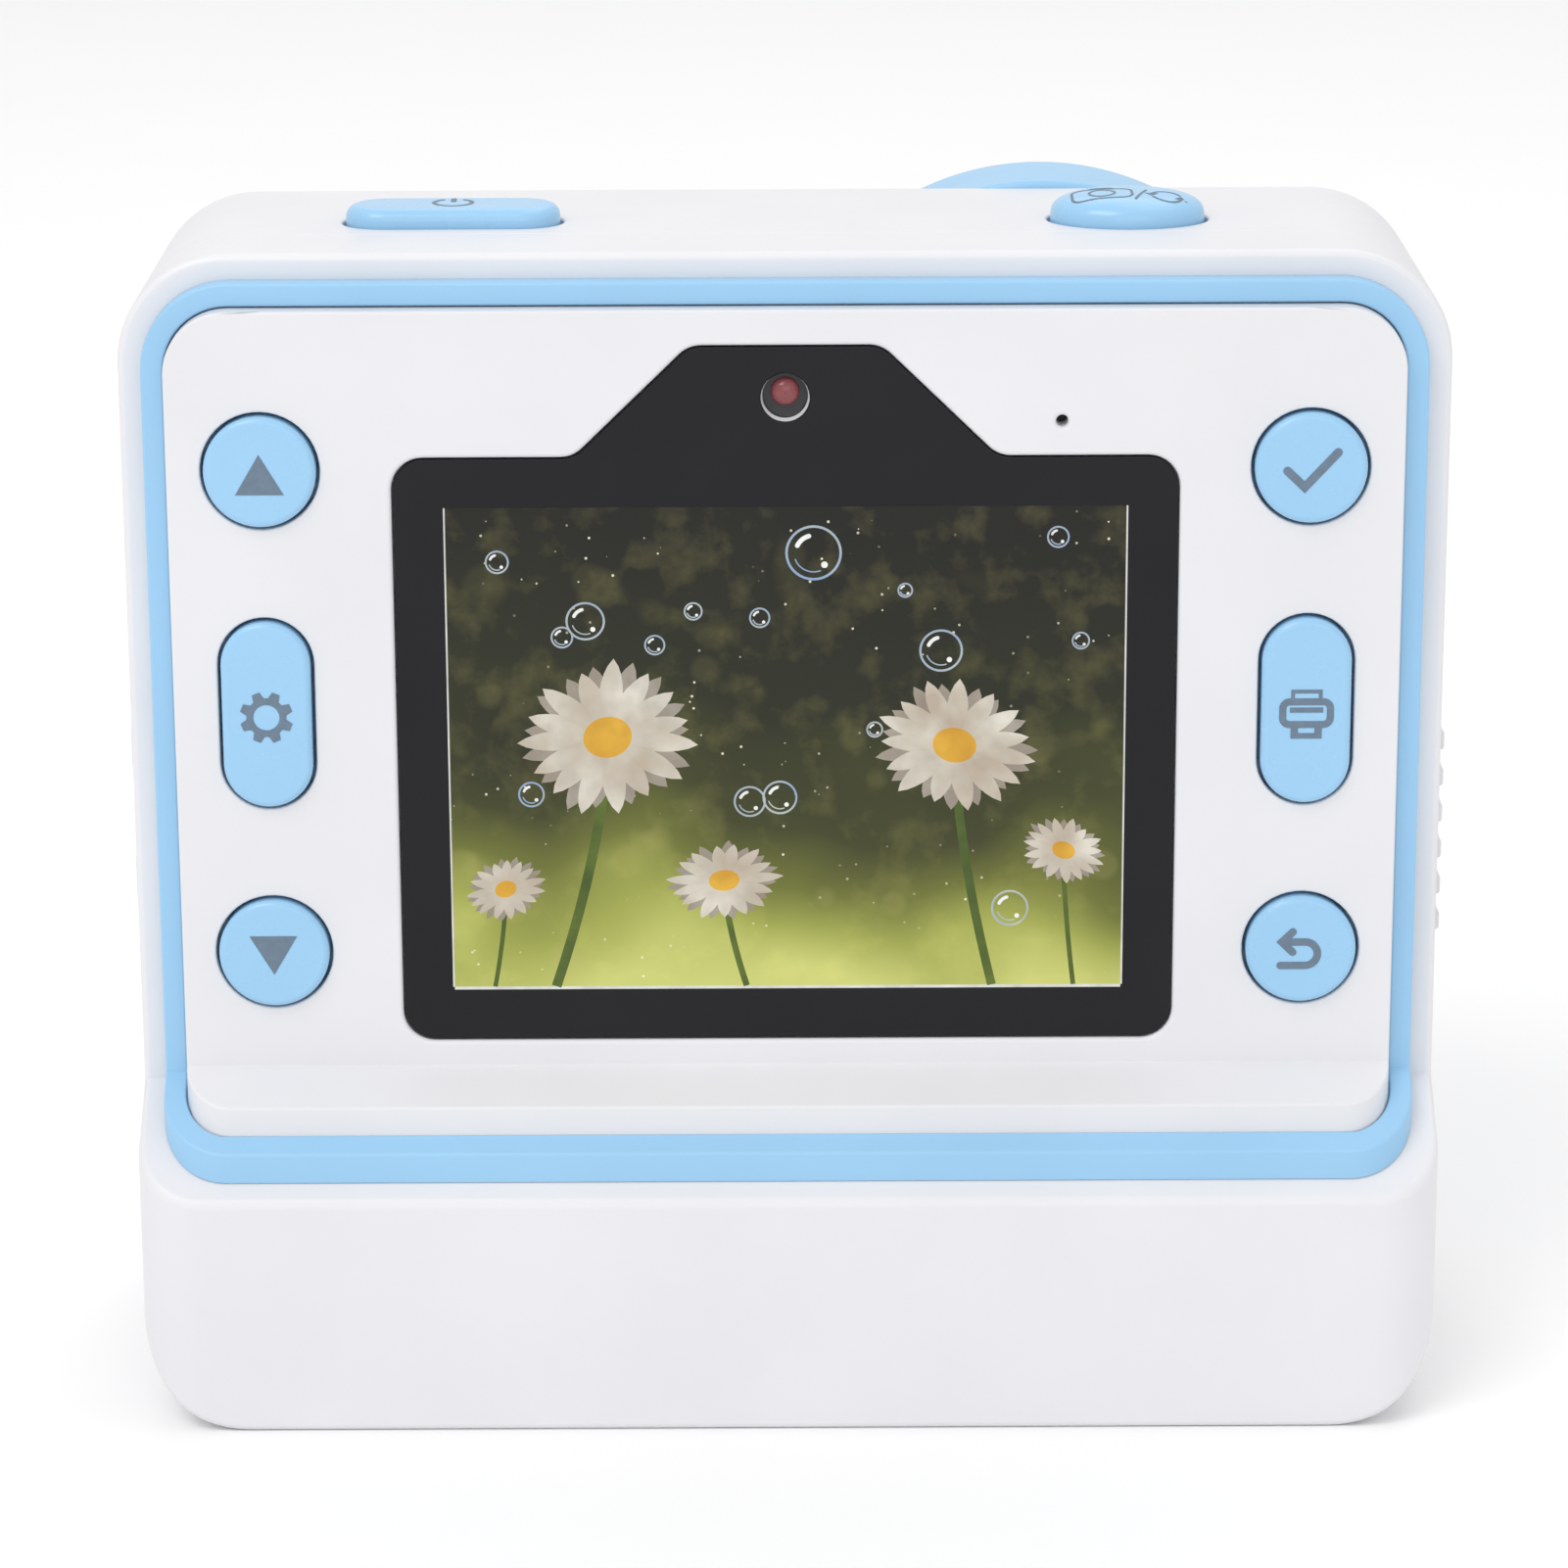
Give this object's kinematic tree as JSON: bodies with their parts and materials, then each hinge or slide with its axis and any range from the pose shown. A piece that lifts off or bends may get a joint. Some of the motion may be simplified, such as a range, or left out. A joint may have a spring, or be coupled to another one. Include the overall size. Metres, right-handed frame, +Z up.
{
  "type": "kids instant-print camera",
  "caption": "Children's digital camera with a rear screen, side keys, top keys, a main lens ring, and a built-in thermal printer behind a hinged paper door.",
  "frame": {"origin": "centre of the base on the surface it stands on, under the middle of the whole camera's box", "axes": "+Z up, -Y towards the person who reads the screen, +Y out of the main lens, +X to that person's right"},
  "size_m": [0.097, 0.0468, 0.0887],
  "materials": {
    "casing_white": "satin moulded ABS",
    "panel_white": "satin moulded ABS",
    "trim_blue": "light blue satin ABS",
    "key_blue": "light blue satin ABS with printed marks",
    "flap_white": "soft white rubber",
    "window_black": "black-masked clear acrylic",
    "lens_red": "polished dark red lens",
    "lens_clear": "coated glass",
    "flash_clear": "frosted clear cover",
    "dark_plastic": "black moulded plastic",
    "circuit_board": "green solder mask",
    "sheet_steel": "pressed sheet steel",
    "pin_steel": "plated steel",
    "led_yellow": "phosphor",
    "battery_wrap": "wrapped pouch cell",
    "lead_red": "insulated wire",
    "flex_amber": "amber film",
    "bay_grey": "light grey moulded plastic",
    "thermal_paper": "smooth thermal paper",
    "core_card": "wound card",
    "roller_rubber": "ground rubber on a steel shaft",
    "gear_white": "acetal",
    "pinion_brass": "machined brass",
    "head_ceramic": "ceramic on an aluminium carrier"
  },
  "bodies": {
    "casing": {"rear_shell": "casing_white", "front_shell": "casing_white", "back_panel": "panel_white", "trim_ring": "trim_blue", "screen_window": "window_black", "lcd_module": "dark_plastic", "lcd_flex": "flex_amber", "selfie_lens": "lens_red", "selfie_camera": "dark_plastic", "microphone": "dark_plastic", "key_board_left": "circuit_board", "key_board_right": "circuit_board", "top_key_board": "circuit_board", "key_switches": "sheet_steel", "main_board": "circuit_board", "image_sensor": "dark_plastic", "lens_barrel": "dark_plastic", "lens_glass": "lens_clear", "lens_bezel": "dark_plastic", "lens_ring": "trim_blue", "flash_led": "led_yellow", "flash_window": "flash_clear", "speaker": "dark_plastic", "battery": "battery_wrap", "battery_leads": "lead_red", "usb_socket": "sheet_steel", "card_socket": "sheet_steel", "door_hinge_pin": "pin_steel", "paper_bay": "bay_grey", "feed_motor": "sheet_steel", "printer_frame": "sheet_steel", "print_head": "head_ceramic", "head_spring": "sheet_steel", "tear_bar": "sheet_steel", "case_screws": "pin_steel", "board_screws": "pin_steel"},
    "key_up": {"button_up": "key_blue"},
    "key_settings": {"button_settings": "key_blue"},
    "key_down": {"button_down": "key_blue"},
    "key_ok": {"button_ok": "key_blue"},
    "key_print": {"button_print": "key_blue"},
    "key_back": {"button_back": "key_blue"},
    "key_power": {"power_button": "key_blue"},
    "key_shutter": {"shutter_button": "key_blue"},
    "door": {"paper_door": "casing_white"},
    "flap": {"port_cover": "flap_white"},
    "card": {"memory_card": "dark_plastic"},
    "roll": {"paper_roll": "thermal_paper", "roll_core": "core_card"},
    "platen": {"platen_roller": "roller_rubber", "platen_gear": "gear_white"},
    "idler": {"idler_gear": "gear_white"},
    "pinion": {"motor_pinion": "pinion_brass"}
  },
  "joints": [
    {"name": "up_press", "type": "slide", "parent": "casing", "child": "key_up", "axis": [0, 1, 0], "range_m": [0, 0.0005], "stiffness_N_per_m": 800, "springref_m": -0.001},
    {"name": "settings_press", "type": "slide", "parent": "casing", "child": "key_settings", "axis": [0, 1, 0], "range_m": [0, 0.0005], "stiffness_N_per_m": 800, "springref_m": -0.001},
    {"name": "down_press", "type": "slide", "parent": "casing", "child": "key_down", "axis": [0, 1, 0], "range_m": [0, 0.0005], "stiffness_N_per_m": 800, "springref_m": -0.001},
    {"name": "ok_press", "type": "slide", "parent": "casing", "child": "key_ok", "axis": [0, 1, 0], "range_m": [0, 0.0005], "stiffness_N_per_m": 800, "springref_m": -0.001},
    {"name": "print_press", "type": "slide", "parent": "casing", "child": "key_print", "axis": [0, 1, 0], "range_m": [0, 0.0005], "stiffness_N_per_m": 800, "springref_m": -0.001},
    {"name": "back_press", "type": "slide", "parent": "casing", "child": "key_back", "axis": [0, 1, 0], "range_m": [0, 0.0005], "stiffness_N_per_m": 800, "springref_m": -0.001},
    {"name": "power_press", "type": "slide", "parent": "casing", "child": "key_power", "axis": [0, 0, -1], "range_m": [0, 0.0008], "stiffness_N_per_m": 800, "springref_m": -0.001},
    {"name": "shutter_press", "type": "slide", "parent": "casing", "child": "key_shutter", "axis": [0, 0, -1], "range_m": [0, 0.0008], "stiffness_N_per_m": 800, "springref_m": -0.001},
    {"name": "door_open", "type": "hinge", "parent": "casing", "child": "door", "pos_m": [0, 0.014, 0.0051], "axis": [-1, 0, 0], "range_deg": [0, 85]},
    {"name": "flap_open", "type": "hinge", "parent": "casing", "child": "flap", "pos_m": [0.0474, -0.0095, 0.0347], "axis": [0, 1, 0], "range_deg": [0, 90]},
    {"name": "card_eject", "type": "slide", "parent": "casing", "child": "card", "axis": [-1, 0, 0], "range_m": [0, 0.01]},
    {"name": "roll_spin", "type": "hinge", "parent": "casing", "child": "roll", "pos_m": [0, -0.0006, 0.0156], "axis": [1, 0, 0], "continuous": true},
    {"name": "platen_spin", "type": "hinge", "parent": "casing", "child": "platen", "pos_m": [0, 0.006, 0.0342], "axis": [1, 0, 0], "continuous": true},
    {"name": "idler_spin", "type": "hinge", "parent": "casing", "child": "idler", "pos_m": [0.0316, -0.00439, 0.0402], "axis": [1, 0, 0], "continuous": true},
    {"name": "pinion_spin", "type": "hinge", "parent": "casing", "child": "pinion", "pos_m": [0.0316, -0.00356, 0.04976], "axis": [1, 0, 0], "continuous": true}
  ],
  "couplings": [
    {"joint": "idler_spin", "follows": "platen_spin", "ratio": -0.81818},
    {"joint": "pinion_spin", "follows": "platen_spin", "ratio": 1.8}
  ]
}
